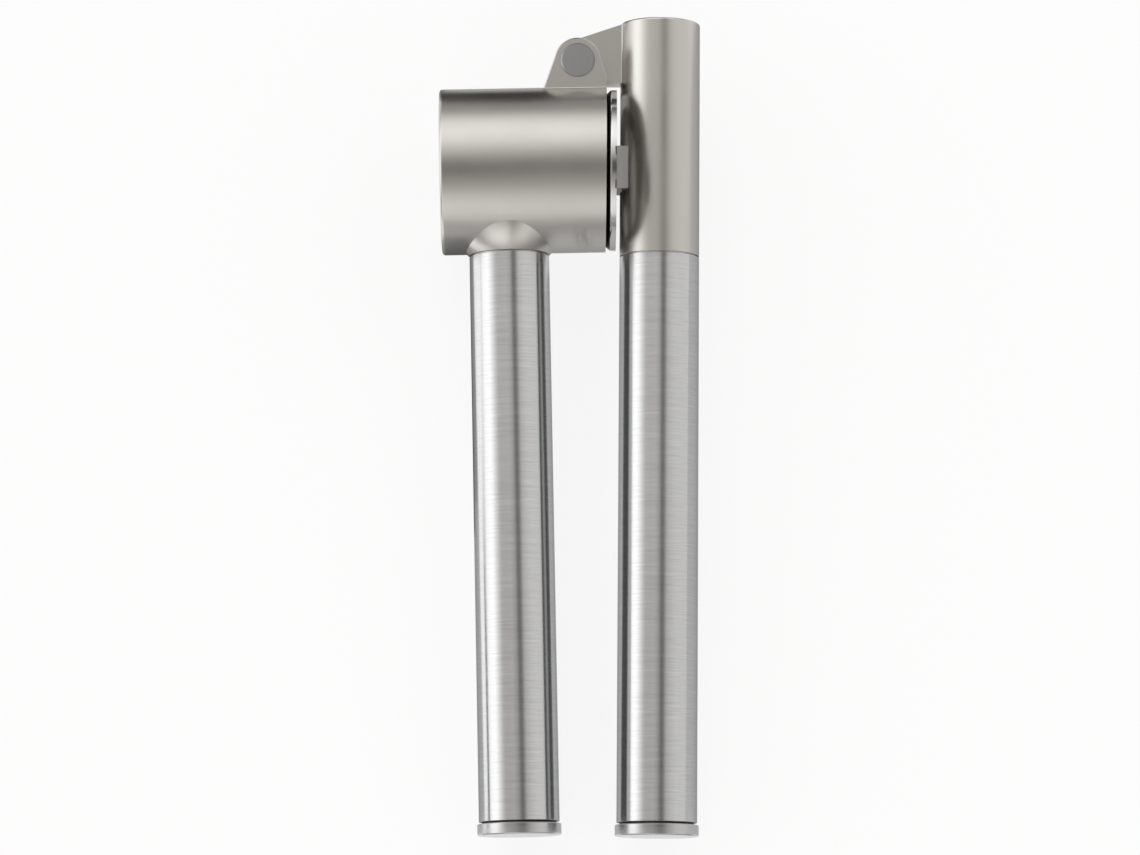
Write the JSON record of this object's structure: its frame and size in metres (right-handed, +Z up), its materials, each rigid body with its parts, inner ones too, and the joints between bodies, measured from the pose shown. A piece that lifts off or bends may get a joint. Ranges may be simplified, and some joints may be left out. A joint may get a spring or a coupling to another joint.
{
  "type": "garlic press",
  "caption": "Hand press for garlic: a barrel with a loose strainer cup, a hinged arm that drives a plunger into it, and tubular steel handles.",
  "frame": {"origin": "middle of the underside of the box, with the press lying on its side on the barrel's flank", "axes": "+X from the barrel's outlet to the arm, +Y from the handle ends to the hinge, +Z up along the hinge pin"},
  "size_m": [0.058, 0.1802, 0.0367],
  "materials": {
    "casting": "satin nickel plate on a zinc casting, finely blasted",
    "tube_steel": "stainless tube brushed round its girth",
    "cap_steel": "turned stainless, satin",
    "strainer_steel": "bright pressed stainless sheet",
    "pin_steel": "plain steel, satin",
    "plug_plastic": "black, matte"
  },
  "bodies": {
    "chamber": {"chamber_body": "casting", "hinge_pin": "pin_steel", "hinge_pin_collar": "pin_steel", "chamber_handle_tube": "tube_steel", "chamber_handle_plug": "plug_plastic", "chamber_handle_cap": "cap_steel", "chamber_handle_rod": "pin_steel"},
    "strainer": {"strainer_cup": "strainer_steel", "strainer_disc": "strainer_steel"},
    "arm": {"arm_body": "casting", "arm_handle_tube": "tube_steel", "arm_handle_plug": "plug_plastic", "arm_handle_cap": "cap_steel", "arm_handle_rod": "pin_steel"},
    "plunger": {"plunger": "casting", "plunger_pin": "pin_steel"}
  },
  "joints": [
    {"name": "arm_swing", "type": "hinge", "parent": "chamber", "child": "arm", "pos_m": [0.00154, 0.08074, 0.01835], "axis": [0, 0, 1], "range_deg": [0, 135]},
    {"name": "plunger_rock", "type": "hinge", "parent": "arm", "child": "plunger", "pos_m": [0.00354, 0.05716, 0.01835], "axis": [0, 0, 1], "range_deg": [-2.5, 2.5]},
    {"name": "strainer_turn", "type": "hinge", "parent": "chamber", "child": "strainer", "pos_m": [0.00799, 0.05716, 0.01835], "axis": [1, 0, 0], "range_deg": [-35, 35]}
  ]
}
